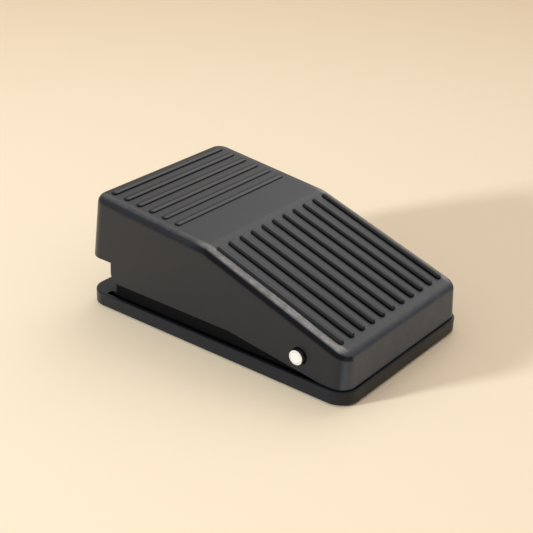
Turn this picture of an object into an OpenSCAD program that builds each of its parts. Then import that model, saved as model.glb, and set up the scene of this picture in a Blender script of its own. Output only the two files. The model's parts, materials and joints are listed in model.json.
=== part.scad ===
// Compact foot switch: a hinged treadle over a flat base, with a snap-action
// switch, its lever and a coil return spring inside.
// Frame: X across, Y from heel (-Y) to toe (+Y), Z up. The origin is on the
// floor, under the middle of the base. Everything is drawn with the treadle
// released.

/* [Base] */
// Length of the base, heel to toe
base_l = 104; // [100:1:112]
// Width of the base
base_w = 66; // [62:1:76]
// Corner radius of the base in plan
base_r = 6.5; // [5:0.5:9]
// Height of the base's edge
base_h = 4.5; // [4.2:0.1:6]
// Thickness of the floor
floor_t = 2.5; // [2.2:0.1:3]
// Width of the rim outside the side grooves
rim_t = 1.4; // [1.2:0.1:1.8]
// Depth of the side grooves below the rim
groove_d = 1.6; // [1:0.1:1.8]
// Thickness of the upright walls
wall_t = 1.8; // [1.5:0.1:2.2]
// How far the upright walls run on past the notch in the treadle
wall_past_notch = 2; // [1:0.1:2.2]
// Height of the upright walls above the rim
wall_h = 7.5; // [6:0.5:9]
// Length of the ledge under the treadle's heel
heel_ledge_l = 12; // [10:0.5:14]
// Diameter of a rubber foot
foot_d = 10; // [8:0.5:12]
// Distance from a foot's centre to the base's side and end
foot_inset = 9; // [8:0.5:11]
// How far the feet stand proud of the underside
foot_proud = 0.5; // [0.4:0.1:1]
// Depth of the pockets that hold the feet
foot_pocket_d = 1.2; // [0.8:0.1:1.4]

/* [Fixing] */
// Diameter of the four fixing holes
fix_hole_d = 4.4; // [3.4:0.1:5.5]
// Distance between fixing holes across the base
fix_dx = 40; // [36:1:42]
// Distance between fixing holes along the base
fix_dy = 50; // [46:1:54]
// Distance from the heel end to the nearer pair of fixing holes
fix_from_heel = 30; // [28:1:32]
// Diameter of the pads around the fixing holes
fix_pad_d = 10; // [8:0.5:11]
// Height of the pads above the floor
fix_pad_h = 1.2; // [0.8:0.1:2]
// Diameter of the cord's inlet
inlet_d = 6.2; // [5:0.1:6.4]
// Length of the inlet's bore
inlet_l = 5; // [4:0.5:7]
// Height of the inlet's centre above the rim
inlet_rise = 3.6; // [3.4:0.1:3.8]

/* [Treadle] */
// Height of the tread above the rim at the toe
toe_rise = 34.2; // [32:0.1:36]
// Height of the tread above the rim at the knee
knee_rise = 29.2; // [28:0.1:31]
// Height of the tread above the rim at the heel
heel_rise = 11.4; // [10.5:0.5:13]
// Distance from the heel end to the knee
knee_from_heel = 55; // [52:1:58]
// Radius of the bend at the knee
knee_r = 14; // [6:1:20]
// Wall thickness
pedal_t = 2.1; // [2:0.1:2.6]
// Radius of the edge around the tread
edge_r = 2.8; // [2.7:0.1:3.4]
// Corner radius in plan, at the tread
top_corner_r = 4.8; // [4.5:0.1:6]
// Corner radius in plan, at the lower edge
low_corner_r = 5.3; // [5:0.1:7]
// Setback of the treadle from the base's edge at the sides and heel
pedal_gap = 0.8; // [0.6:0.1:1.2]
// Mould draft of the sides
side_draft = 1; // [0.5:0.1:1.5]
// Mould draft of the heel
heel_draft = 3; // [1:0.5:4]
// Mould draft of the toe
toe_draft = 6; // [1:0.5:7]
// How far the toe's lower edge overhangs the base
toe_overhang = 0.5; // [0:0.1:0.8]
// Length of the notch under the toe
notch_l = 9.6; // [9:0.1:12]
// Height of the toe's lower edge above the rim
nose_rise = 11.8; // [11.5:0.1:14]
// Radius of the skirt's lower toe corner
skirt_r = 3.5; // [2:0.5:4]
// Distance from the heel end to where the lower edge starts to rise
rise_from_heel = 10; // [9:0.5:12]
// Distance from the heel end to where the lower edge levels out
level_from_heel = 44.5; // [42:0.5:48]
// Gap left at each end of the treadle's travel
stop_gap = 0.3; // [0.2:0.05:0.4]

/* [Tread ribs] */
// Number of ribs along the slope
grip_count = 11; // [9:2:13]
// Distance between ribs along the slope
grip_pitch = 5.45; // [4.2:0.05:5.5]
// Width of a rib along the slope
grip_w = 2.1; // [1.8:0.1:2.8]
// Height of a rib along the slope
grip_h = 1; // [0.5:0.1:1.2]
// Length of the slope left bare above the ribs
grip_high_margin = 2; // [1.6:0.1:5]
// Length of the slope left bare below the ribs
grip_low_margin = 4.9; // [4.5:0.1:7]
// Number of ribs across the toe
cross_count = 6; // [4:1:7]
// Distance between ribs across the toe
cross_pitch = 5.4; // [4.5:0.05:5.5]
// Width of a rib across the toe
cross_w = 2.2; // [1.4:0.1:2.4]
// Height of a rib across the toe
cross_h = 0.6; // [0.3:0.05:0.8]
// Distance from the tread's toe edge to the first cross rib
cross_margin = 5; // [4.6:0.1:6.5]
// Length of a rib across the toe
cross_l = 54; // [46:1:54]

/* [Hinge] */
// Diameter of the pivot pin
pin_d = 4.8; // [4:0.1:5]
// How far the pin stands proud of the treadle on each side
pin_proud = 1.6; // [1:0.1:2]
// Chamfer on the pin's ends
pin_chamfer = 0.2; // [0.2:0.1:0.6]
// Distance from the heel end to the pin
pin_from_heel = 18; // [17:0.5:19]
// Height of the pin's centre above the rim
pin_rise = 6.6; // [6:0.1:7]
// Material around the pin in the base's ears
ear_t = 2.6; // [2:0.1:3]
// Radial running clearance of the treadle on the pin
running_gap = 0.06; // [0.02:0.01:0.09]
// Gap between the treadle's side walls and the base's upright walls
side_gap = 0.5; // [0.4:0.1:0.8]
// Angle that the treadle turns when it is pressed right down
press_angle = 3.5; // [3:0.1:3.6]

/* [Return spring] */
// Wire diameter
wire_d = 1.4; // [1:0.1:1.8]
// Outer diameter of the coil
spring_d = 12; // [10:0.5:13]
// Turns of wire, closed ends included
spring_turns = 8; // [6:1:10]
// Room between the spring and the switch's nearest terminal
spring_room = 4.7; // [3:0.1:6]
// Radial room around the spring in its seats
seat_gap = 0.4; // [0.3:0.1:0.6]
// Depth of the seat under the tread
seat_d = 3; // [2:0.5:4]
// Wall of the seat under the tread
seat_t = 1.6; // [1.2:0.1:2]

/* [Snap switch] */
// Length of the switch's case
case_l = 27.8; // [27.8:0.1:28.4]
// Height of the switch's case
case_h = 15.9; // [15.9:0.1:16.2]
// Thickness of the switch's case with its cover
case_w = 10.3; // [10:0.1:10.6]
// Wall of the case
case_t = 1.5; // [1.3:0.1:1.6]
// Thickness of the cover
cover_t = 1.2; // [1:0.1:1.4]
// Room between the case and the cord's inlet
case_room = 5.6; // [5:0.1:6]
// Height of the case above the floor
case_rise = 8; // [7.8:0.1:8.2]
// Travel of the plunger
plunger_travel = 1.2; // [1:0.05:1.3]
// Diameter of the plunger
plunger_d = 3.2; // [3:0.1:3.4]
// How far the plunger stands out when released
plunger_free = 1.9; // [1.8:0.1:2.1]
// Distance from the case's heel end to the plunger
plunger_y = 8.7; // [8.6:0.1:9]
// Thickness of the lever
lever_t = 0.5; // [0.4:0.05:0.6]
// Width of the lever
lever_w = 4.4; // [4:0.1:5]
// Length of the lever from its pivot
lever_l = 27; // [26:0.5:28]
// Distance from the case's heel end to the lever's pivot
lever_y = 1.5; // [1.4:0.1:1.6]
// Height of the lever's pivot above the case
lever_rise = 1.1; // [1.1:0.05:1.3]
// Distance from the lever's pivot to the treadle's stud
stud_reach = 24; // [23:0.5:25]
// Diameter of the stud that presses the lever
stud_d = 4; // [3:0.1:5]
// Thickness of the terminals
terminal_t = 0.5; // [0.4:0.05:0.8]
// Width of the terminals
terminal_w = 4.75; // [4:0.05:5]
// Length of the terminals outside the case
terminal_l = 6.3; // [5:0.1:6.5]
// Thickness of the snap blade
blade_t = 0.3; // [0.2:0.05:0.4]
// Diameter of the contacts
contact_d = 2.2; // [2:0.1:2.2]
// Thickness of a contact
contact_t = 0.8; // [0.6:0.05:0.9]

/* [Switch fixing] */
// Diameter of the screws
screw_d = 2.9; // [2.5:0.1:3]
// Diameter of the holes for the screws
screw_hole_d = 3.2; // [3.1:0.1:3.3]
// Diameter of the screw heads
screw_head_d = 5.5; // [5:0.1:5.6]
// Height of the screw heads
screw_head_h = 2; // [1.6:0.1:2.2]
// Length of the screws under the head
screw_l = 16; // [16:0.5:18]
// Width of the nuts across their flats
nut_af = 5.5; // [5:0.1:5.5]
// Thickness of the nuts
nut_t = 2.4; // [2:0.1:2.4]
// Thickness of the bracket that carries the switch
bracket_t = 3; // [2.5:0.1:3]

/* [Hidden] */

touch = 0.1;      // gap between pieces that touch and move apart
fit_gap = 0.05;   // gap between a piece and the seat that it drops into
past = 1;         // how far a cutting shape runs past what it cuts
sink = 0.4;       // how far an added shape runs into what carries it

// Levels
z_under = foot_proud;
z_floor = z_under + floor_t;
z_rim = z_under + base_h;
z_wall = z_rim + wall_h;

// Places along the base
y_heel = -base_l / 2;
y_toe = base_l / 2;
y_pin = y_heel + pin_from_heel;
y_knee = y_heel + knee_from_heel;
y_notch = y_toe - notch_l;
y_box_toe = y_notch + wall_past_notch;
y_case = y_box_toe - inlet_l - case_room - case_l;
y_spring = y_case - terminal_l - spring_room - spring_d / 2;

// Pivot
z_pin = z_rim + pin_rise;
ear_r = pin_d / 2 + ear_t;

// Outline of the treadle at a given height
function pedal_half_w(z) = base_w / 2 - pedal_gap - (z - z_rim) * tan(side_draft);
function pedal_heel_y(z) = y_heel + pedal_gap + (z - z_rim) * tan(heel_draft);
function pedal_toe_y(z) =
    y_toe + toe_overhang - (z - z_rim - nose_rise) * tan(toe_draft);

// Tread line, seen from the side: a long slope, a knee and a nearly level toe
z_knee = z_rim + knee_rise;
tread_toe_y = pedal_toe_y(z_rim + toe_rise);
tread_heel_y = pedal_heel_y(z_rim + heel_rise);
toe_angle = atan((toe_rise - knee_rise) / (tread_toe_y - y_knee));
slope_angle = atan((knee_rise - heel_rise) / (y_knee - tread_heel_y));
function tread_z(y) = z_knee + (y - y_knee) * tan(y > y_knee ? toe_angle : slope_angle);
function roof_z(y) = tread_z(y) - pedal_t / cos(slope_angle);

// Lower edge of the treadle
z_heel_edge = z_rim + stop_gap;
z_skirt = z_rim + stop_gap + (y_notch - y_pin) * sin(press_angle);
z_nose = z_rim + nose_rise;

// Upright walls of the base, inside the treadle
box_half_w = pedal_half_w(z_pin + ear_r) - pedal_t - side_gap;
y_box_heel = pedal_heel_y(z_wall) + pedal_t + side_gap + wall_h * sin(press_angle);
box_r = low_corner_r - pedal_t;

// Cord inlet
z_inlet = z_rim + inlet_rise;

// Return spring: its upper end is level with the tread's underside on its low side
spring_r = (spring_d - wire_d) / 2;
z_spring_top = roof_z(y_spring - spring_d / 2 - seat_gap) - touch;
spring_l = z_spring_top - z_floor;

// Snap switch, in its own frame: y from the heel end of the case, z from its underside
z_case = z_floor + case_rise;
case_top = case_h - case_t;
cavity_x0 = -case_w / 2 + cover_t;
cavity_x1 = case_w / 2 - case_t;
post_y = 2.8;
post_z = 2.8;
post_r = 2.5;
fixing_points = [[post_y, post_z], [case_l - post_y, case_h - post_z]];
blade_z = 8.1;
blade_y0 = 4.2;
blade_y1 = case_l - 2.8;
blade_w = 4;
blade_pivot_y = case_l - 3.8;
contact_y = 5.9;
rivet_d = 1.3;
contact_gap = plunger_travel * (blade_pivot_y - contact_y) / (blade_pivot_y - plunger_y);
moving_low = blade_z - contact_t;
moving_high = moving_low + 2 * contact_t + blade_t;
open_face = moving_low - contact_gap - touch;
closed_face = moving_high + touch;
open_leg_y = 13;
tip_hole = 2;
common_leg_y = blade_pivot_y;

// Lever: it rises from its pivot, just over the plunger's dome, to the stud
lever_pivot_z = case_h + lever_rise;
lever_roll_r = 0.75;
dome_r = 2;
dome_drop = lever_rise - plunger_free + dome_r;
lever_angle = asin((lever_t / 2 + touch + dome_r) / norm([plunger_y - lever_y, dome_drop]))
    - atan2(dome_drop, plunger_y - lever_y);
stud_y = y_case + lever_y + stud_reach;
stud_z = z_case + lever_pivot_z + stud_reach * tan(lever_angle)
    + lever_t / 2 / cos(lever_angle) + 2 * touch;

// Bracket
bracket_x0 = case_w / 2 + fit_gap;
bracket_x1 = bracket_x0 + bracket_t;

// Fixing holes
fix_ys = [y_heel + fix_from_heel, y_heel + fix_from_heel + fix_dy];

// ---------------------------------------------------------------- outlines

// Rectangle with rounded corners, centred
module rounded_rect(w, l, r) {
    square([w - 2 * r, l], center = true);
    square([w, l - 2 * r], center = true);
    for (sx = [-1, 1], sy = [-1, 1])
        translate([sx * (w / 2 - r), sy * (l / 2 - r)])
            circle(r, $fn = 48);
}

// Side view (Y, Z) drawn in 2D, pushed out across X from x0 to x1
module across(x0, x1) {
    translate([x0, 0, 0])
        rotate([90, 0, 90])
            linear_extrude(x1 - x0)
                children();
}

// Round bar along X
module bar_x(r, x0, x1, y, z, fn = 48) {
    translate([x0, y, z])
        rotate([0, 90, 0])
            cylinder(h = x1 - x0, r = r, $fn = fn);
}

// Box given by its two corners
module block(low, high) {
    translate(low)
        cube(high - low);
}

// ---------------------------------------------------------------- base

module plate() {
    translate([0, 0, z_under])
        linear_extrude(base_h)
            rounded_rect(base_w, base_l, base_r);
}

// Upright prism with the outline of the upright walls, shrunk all round by an inset
module box_form(inset, z_top) {
    translate([0, (y_box_heel + y_box_toe) / 2, z_floor])
        linear_extrude(z_top - z_floor)
            rounded_rect(2 * (box_half_w - inset), y_box_toe - y_box_heel - 2 * inset,
                box_r - inset);
}

// Space inside the upright walls, down to the floor
module tray() {
    box_form(wall_t, z_pin + 2 * ear_r);
}

// The grooves beside the upright walls, under the skirt
module side_grooves() {
    for (s = [-1, 1])
        block([min(s * box_half_w, s * (base_w / 2 - rim_t)),
                y_heel + heel_ledge_l, z_rim - groove_d],
            [max(s * box_half_w, s * (base_w / 2 - rim_t)), y_box_toe, z_rim + past]);
}

module upright_walls() {
    difference() {
        box_form(0, z_wall);
        tray();
    }
}

// Ears that hold the pivot pin, part of the side walls
module ears() {
    for (s = [-1, 1]) {
        x0 = s > 0 ? box_half_w - wall_t : -box_half_w;
        bar_x(ear_r, x0, x0 + wall_t, y_pin, z_pin);
        block([x0, y_pin - ear_r, z_floor], [x0 + wall_t, y_pin + ear_r, z_pin]);
    }
}

// Round-topped sleeve in the toe wall, where the cord comes in
module inlet_sleeve() {
    r = inlet_d / 2 + wall_t;
    translate([0, y_box_toe, z_inlet])
        rotate([90, 0, 0])
            cylinder(h = inlet_l, r = r, $fn = 48);
    block([-r, y_box_toe - inlet_l, z_floor], [r, y_box_toe, z_inlet]);
}

module fixing_pads() {
    for (sx = [-1, 1], y = fix_ys)
        translate([sx * fix_dx / 2, y, z_floor - sink])
            cylinder(h = fix_pad_h + sink, d = fix_pad_d, $fn = 48);
}

module fixing_holes() {
    for (sx = [-1, 1], y = fix_ys)
        translate([sx * fix_dx / 2, y, 0])
            cylinder(h = z_wall, d = fix_hole_d, $fn = 48);
}

module foot_pockets() {
    for (sx = [-1, 1], sy = [-1, 1])
        translate([sx * (base_w / 2 - foot_inset), sy * (base_l / 2 - foot_inset),
                z_under - past])
            cylinder(h = foot_pocket_d + past, d = foot_d + 4 * fit_gap, $fn = 48);
}

// Peg that centres the spring's lower end
module spring_peg() {
    translate([0, y_spring, z_floor - sink])
        cylinder(h = seat_d + sink, r = spring_r - wire_d / 2 - seat_gap, $fn = 48);
}

// Upright plate with gussets that carries the switch
module switch_bracket() {
    y0 = y_case;
    y1 = y_case + case_l;
    foot_l = case_rise;
    block([bracket_x0, y0, z_floor - sink], [bracket_x1, y1, z_case + case_h]);
    for (y = [y0, (y0 + y1 - bracket_t) / 2, y1 - bracket_t])
        translate([0, y + bracket_t, 0])
            rotate([90, 0, 0])
                linear_extrude(bracket_t)
                    polygon([[bracket_x1 - sink, z_floor - sink],
                        [bracket_x1 + foot_l, z_floor - sink],
                        [bracket_x1 + foot_l, z_floor + floor_t],
                        [bracket_x1 - sink, z_floor + foot_l]]);
}

// Pocket under the toe ledge that keeps the moulding's walls even
module toe_core() {
    half = base_w / 2 - foot_inset - foot_d / 2 - 2 * wall_t;
    block([-half, y_box_toe, z_under - past],
        [half, y_toe - wall_t, z_rim - floor_t]);
}

module base() {
    color([0.15, 0.15, 0.155])
        difference() {
            union() {
                difference() {
                    plate();
                    tray();
                    side_grooves();
                }
                upright_walls();
                ears();
                inlet_sleeve();
                fixing_pads();
                spring_peg();
                switch_bracket();
            }
            bar_x(pin_d / 2, -base_w, base_w, y_pin, z_pin);
            fixing_holes();
            foot_pockets();
            toe_core();
            translate([0, y_toe, z_inlet])
                rotate([90, 0, 0])
                    cylinder(h = y_toe - y_box_toe + inlet_l + past, d = inlet_d, $fn = 48);
            for (p = fixing_points)
                bar_x(screw_hole_d / 2, bracket_x0 - past, bracket_x1 + past,
                    y_case + p[0], z_case + p[1]);
        }
}

module foot(sx, sy) {
    edge = 0.4;
    r = foot_d / 2;
    color([0.1, 0.1, 0.1])
        translate([sx * (base_w / 2 - foot_inset), sy * (base_l / 2 - foot_inset), 0])
            rotate_extrude($fn = 48)
                polygon([[0, 0], [r - edge, 0], [r, edge],
                    [r, z_under + foot_pocket_d], [0, z_under + foot_pocket_d]]);
}

module foot_heel_left() { foot(-1, -1); }

module foot_heel_right() { foot(1, -1); }

module foot_toe_left() { foot(-1, 1); }

module foot_toe_right() { foot(1, 1); }

// ---------------------------------------------------------------- treadle

// Place and slope [x, y, z, angle] of a corner disc under the tread at y
function under_tread(y, angle) =
    let (z = tread_z(y) - edge_r / cos(angle))
        [pedal_half_w(z) - top_corner_r, y, z, angle];

// Place and slope of a corner disc under the bend at the knee
function under_bend(angle) =
    let (reach = knee_r / cos((slope_angle - toe_angle) / 2),
        middle = (toe_angle + slope_angle) / 2,
        y = y_knee + reach * sin(middle) - (knee_r - edge_r) * sin(angle),
        z = z_knee - reach * cos(middle) + (knee_r - edge_r) * cos(angle))
        [pedal_half_w(z) - top_corner_r, y, z, angle];

top_corners = concat(
    [under_tread(tread_heel_y + top_corner_r, slope_angle)],
    [for (k = [0 : 3]) under_bend(slope_angle + (toe_angle - slope_angle) * k / 3)],
    [under_tread(tread_toe_y - top_corner_r, toe_angle)]);
low_corners = [for (y = [pedal_heel_y(z_under) + low_corner_r,
        pedal_toe_y(z_under) - low_corner_r])
    [pedal_half_w(z_under) - low_corner_r, y, z_under]];

// Disc with a rounded edge
module round_disc(r, edge) {
    rotate_extrude($fn = 32)
        intersection() {
            translate([r - edge, 0])
                circle(edge, $fn = 20);
            translate([0, -edge])
                square([r, 2 * edge]);
        }
}

// Solid form of the treadle, shrunk all round by an inset
module treadle_form(inset) {
    hull()
        for (s = [-1, 1]) {
            for (p = top_corners)
                translate([s * p[0], p[1], p[2]])
                    rotate([p[3], 0, 0])
                        round_disc(top_corner_r - inset, edge_r - inset);
            for (p = low_corners)
                translate([s * p[0], p[1], p[2]])
                    cylinder(h = touch, r = low_corner_r - inset, $fn = 32);
        }
}

// What is cut away under the lower edge, seen from the side
module below_edge() {
    far = base_l;
    polygon([[-far, -far], [-far, z_heel_edge],
        [y_heel + rise_from_heel, z_heel_edge],
        [y_heel + level_from_heel, z_skirt],
        [y_notch, z_skirt], [y_notch, z_nose],
        [far, z_nose], [far, -far]]);
    difference() {
        translate([y_notch - skirt_r, z_skirt - past])
            square([skirt_r + past, skirt_r + past]);
        translate([y_notch - skirt_r, z_skirt + skirt_r])
            circle(skirt_r, $fn = 48);
        translate([y_notch - 2 * skirt_r, z_skirt + skirt_r])
            square(2 * skirt_r);
    }
}

// Right half of a rib's cross-section: an upright side and a round back
function rib_half(w, h) =
    let (upright = 0.35 * h)
        [for (t = [0 : 30 : 90]) [w / 2 * cos(t), upright + (h - upright) * sin(t)]];

// Rib along Y with round ends, rising h above its ground and sunk into it by its root
module round_rib(length, w, h) {
    root = 0.4;
    right = rib_half(w, h);
    straight = length - w;
    translate([0, straight / 2, 0])
        rotate([90, 0, 0])
            linear_extrude(straight)
                polygon(concat([[-w / 2, -root], [w / 2, -root]], right,
                    [for (k = [len(right) - 2 : -1 : 0]) [-right[k][0], right[k][1]]]));
    for (s = [-1, 1])
        translate([0, s * straight / 2, 0])
            rotate_extrude($fn = 32)
                polygon(concat([[0, -root], [w / 2, -root]], right));
}

// Ribs along the slope
module grip_ribs() {
    slope_l = (y_knee - tread_heel_y) / cos(slope_angle);
    length = slope_l - grip_high_margin - grip_low_margin;
    translate([0, y_knee, z_knee])
        rotate([slope_angle, 0, 0])
            for (k = [0 : grip_count - 1])
                translate([(k - (grip_count - 1) / 2) * grip_pitch,
                        -grip_high_margin - length / 2, 0])
                    round_rib(length, grip_w, grip_h);
}

// Ribs across the toe
module cross_ribs() {
    translate([0, tread_toe_y, tread_z(tread_toe_y)])
        rotate([toe_angle, 0, 0])
            for (k = [0 : cross_count - 1])
                translate([0, -cross_margin - k * cross_pitch, 0])
                    rotate([0, 0, 90])
                        round_rib(cross_l, cross_w, cross_h);
}

// Stiffening ribs under the tread
module under_ribs() {
    rib_t = 1.6;
    rib_h = 4;
    rib_x = spring_d / 2 + seat_gap + seat_t + 3 * rib_t;
    y0 = y_pin - ear_r;
    y1 = y_notch;
    for (x = [-rib_x, rib_x])
        across(x - rib_t / 2, x + rib_t / 2)
            polygon([[y0, roof_z(y0) - rib_h], [y_knee, roof_z(y_knee) - rib_h],
                [y1, roof_z(y1) - rib_h], [y1, tread_z(y1)],
                [y_knee, z_knee], [y0, tread_z(y0)]]);
}

// Socket that holds the spring's upper end
module spring_socket() {
    r = spring_d / 2 + seat_gap;
    translate([0, y_spring, z_spring_top - seat_d])
        difference() {
            cylinder(h = z_knee - z_spring_top + seat_d, r = r + seat_t, $fn = 48);
            translate([0, 0, -past])
                cylinder(h = seat_d + touch + past, r = r, $fn = 48);
        }
}

// Stud that presses the switch's lever
module lever_stud() {
    r = stud_d / 2;
    translate([0, stud_y, stud_z + r]) {
        cylinder(h = tread_z(stud_y) - stud_z - r, r = r, $fn = 32);
        sphere(r, $fn = 32);
    }
}

// Countersinks in the treadle's sides, round the ends of the pin
module pin_mouths() {
    depth = 0.45;
    r = pin_d / 2 + running_gap;
    for (s = [-1, 1])
        translate([s * (pedal_half_w(z_pin) - depth), y_pin, z_pin])
            rotate([0, s * 90, 0])
                cylinder(h = 2 * depth, r1 = r, r2 = r + 2 * depth, $fn = 48);
}

module treadle() {
    color([0.17, 0.17, 0.175])
        difference() {
            union() {
                difference() {
                    treadle_form(0);
                    treadle_form(pedal_t);
                    across(-base_w, base_w)
                        below_edge();
                }
                grip_ribs();
                cross_ribs();
                intersection() {
                    treadle_form(pedal_t / 2);
                    union() {
                        under_ribs();
                        spring_socket();
                        lever_stud();
                    }
                }
            }
            bar_x(pin_d / 2 + running_gap, -base_w, base_w, y_pin, z_pin);
            pin_mouths();
        }
}

module pivot_pin() {
    half = pedal_half_w(z_pin) + pin_proud;
    r = pin_d / 2;
    color([0.86, 0.86, 0.84])
        translate([0, y_pin, z_pin])
            rotate([0, 90, 0])
                rotate_extrude($fn = 48)
                    polygon([[0, -half], [r - pin_chamfer, -half], [r, -half + pin_chamfer],
                        [r, half - pin_chamfer], [r - pin_chamfer, half], [0, half]]);
}

// ---------------------------------------------------------------- return spring

// Height of the wire's centre after t turns, with one closed turn at each end
function wire_rise(t) =
    let (live = (spring_l - 3 * wire_d) / (spring_turns - 2))
        wire_d * (0.5 + min(t, 1) + max(t - spring_turns + 1, 0))
            + live * min(max(t - 1, 0), spring_turns - 2);

module return_spring() {
    steps = 20;
    sides = 8;
    rings = spring_turns * steps;
    points = [for (i = [0 : rings])
        let (a = 360 * i / steps, z = wire_rise(i / steps))
            for (j = [0 : sides - 1])
                let (b = 360 * j / sides, r = spring_r + wire_d / 2 * cos(b))
                    [r * cos(a), r * sin(a), z + wire_d / 2 * sin(b)]];
    walls = [for (i = [0 : rings - 1], j = [0 : sides - 1])
        let (k = (j + 1) % sides)
            [i * sides + j, i * sides + k, (i + 1) * sides + k, (i + 1) * sides + j]];
    color([0.62, 0.62, 0.64])
        translate([0, y_spring, z_floor])
            polyhedron(points = points, convexity = 10,
                faces = concat([[for (j = [sides - 1 : -1 : 0]) j]], walls,
                    [[for (j = [0 : sides - 1]) rings * sides + j]]));
}

// ---------------------------------------------------------------- snap switch

// Puts a piece of the snap switch where the switch sits
module at_switch() {
    translate([0, y_case, z_case])
        children();
}

module case_holes() {
    for (p = fixing_points)
        bar_x(screw_hole_d / 2, -case_w, case_w, p[0], p[1]);
}

// Slots where the terminals leave the case
module terminal_slots() {
    half_w = terminal_w / 2 + fit_gap;
    half_t = terminal_t / 2 + fit_gap;
    for (y = [open_leg_y, common_leg_y])
        block([-half_w, y - half_t, -past], [half_w, y + half_t, case_t + past]);
    z = closed_face + contact_t + terminal_t / 2;
    block([-half_w, -past, z - half_t], [half_w, case_t + past, z + half_t]);
}

// Seat on top of the case for the lever's rolled end
module lever_seat() {
    half = lever_w / 2 - 2 * fit_gap;
    r = lever_roll_r;
    difference() {
        block([-half, 0, case_h - sink],
            [half, lever_y + r, lever_pivot_z]);
        bar_x(r + running_gap, -half - past, half + past, lever_y, lever_pivot_z);
    }
}

module switch_case() {
    color([0.13, 0.13, 0.14])
        at_switch()
            difference() {
                union() {
                    block([cavity_x0, 0, 0], [case_w / 2, case_l, case_h]);
                    lever_seat();
                }
                difference() {
                    block([cavity_x0 - past, case_t, case_t],
                        [cavity_x1, case_l - case_t, case_top]);
                    for (p = fixing_points)
                        bar_x(post_r, cavity_x0 - 2 * past, cavity_x1, p[0], p[1]);
                    for (k = [0, 1])
                        let (p = fixing_points[k], y = k * case_l, z = k * case_h)
                            block([cavity_x0 - 2 * past, min(p[0], y), min(p[1], z)],
                                [cavity_x1, max(p[0], y), max(p[1], z)]);
                }
                case_holes();
                terminal_slots();
                translate([0, plunger_y, case_top - past])
                    cylinder(h = case_t + 2 * past, r = plunger_d / 2 + running_gap, $fn = 48);
            }
}

module switch_cover() {
    color([0.2, 0.2, 0.21])
        at_switch()
            difference() {
                block([-case_w / 2, 0, 0], [cavity_x0, case_l, case_h]);
                case_holes();
            }
}

// Button: a domed stem, a collar inside the case and a foot on the blade
module switch_plunger() {
    stem_r = plunger_d / 2;
    foot_r = 1.1;
    collar_r = stem_r + 0.7;
    collar_h = 1.2;
    collar_z = case_top - touch - collar_h;
    foot_z = blade_z + blade_t + touch;
    dome_z = case_h + plunger_free - dome_r;
    color([0.75, 0.2, 0.15])
        at_switch()
            translate([0, plunger_y, 0])
                rotate_extrude($fn = 48) {
                    translate([0, foot_z])
                        square([foot_r, collar_z + collar_h - foot_z]);
                    translate([0, collar_z])
                        square([collar_r, collar_h]);
                    translate([0, collar_z])
                        square([stem_r, dome_z - collar_z]);
                    translate([0, dome_z])
                        intersection() {
                            circle(dome_r, $fn = 48);
                            square([stem_r, dome_r]);
                        }
                }
}

// Lever: a flat strip with its end rolled round the pivot
module switch_lever() {
    half = lever_w / 2;
    color([0.78, 0.78, 0.8])
        at_switch()
            translate([0, lever_y, lever_pivot_z])
                rotate([lever_angle, 0, 0]) {
                    bar_x(lever_roll_r, -half, half, 0, 0);
                    block([-half, 0, -lever_t / 2], [half, lever_l, lever_t / 2]);
                }
}

// Blade with a slot, which carries the moving contact
module snap_blade() {
    slot_w = 1.4;
    slot_y0 = plunger_y + 2.4;
    slot_y1 = blade_pivot_y - 1.6;
    color([0.8, 0.6, 0.35])
        at_switch()
            difference() {
                block([-blade_w / 2, blade_y0, blade_z],
                    [blade_w / 2, blade_y1, blade_z + blade_t]);
                block([-slot_w / 2, slot_y0, blade_z - past],
                    [slot_w / 2, slot_y1, blade_z + past]);
                translate([0, contact_y, blade_z - past])
                    cylinder(h = 2 * past, d = rivet_d, $fn = 24);
            }
}

// Round contact whose head starts at z and is contact_t thick
module contact_head(z) {
    translate([0, contact_y, z])
        cylinder(h = contact_t, d = contact_d, $fn = 32);
}

module moving_contact() {
    color([0.85, 0.85, 0.83])
        at_switch() {
            contact_head(moving_low);
            contact_head(moving_high - contact_t);
            translate([0, contact_y, moving_low])
                cylinder(h = moving_high - moving_low, d = rivet_d, $fn = 24);
        }
}

module normally_open_contact() {
    color([0.85, 0.85, 0.83])
        at_switch()
            contact_head(open_face - contact_t);
}

module normally_closed_contact() {
    color([0.85, 0.85, 0.83])
        at_switch()
            contact_head(closed_face);
}

// Terminal with a hole near its tip; the side view is its bent strip
module terminal(hole_y, hole_z, down) {
    hole_d = 1.6;
    half = terminal_w / 2;
    color([0.8, 0.65, 0.4])
        at_switch()
            difference() {
                across(-half, half)
                    children();
                translate([0, hole_y, hole_z])
                    rotate([down ? 90 : 0, 0, 0])
                        cylinder(h = 2 * past, d = hole_d, center = true, $fn = 24);
            }
}

module normally_open_terminal() {
    top = open_face - contact_t;
    terminal(open_leg_y, tip_hole - terminal_l, true) {
        translate([contact_y - contact_d / 2, top - terminal_t])
            square([open_leg_y + terminal_t / 2 - contact_y + contact_d / 2, terminal_t]);
        translate([open_leg_y - terminal_t / 2, -terminal_l])
            square([terminal_t, top + terminal_l]);
    }
}

module normally_closed_terminal() {
    low = closed_face + contact_t;
    terminal(tip_hole - terminal_l, low, false)
        translate([-terminal_l, low])
            square([terminal_l + contact_y + contact_d / 2, terminal_t]);
}

module common_terminal() {
    top = blade_z - touch;
    terminal(common_leg_y, tip_hole - terminal_l, true) {
        translate([common_leg_y - terminal_t / 2, -terminal_l])
            square([terminal_t, top + terminal_l]);
    }
}

// ---------------------------------------------------------------- switch fixing

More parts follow.
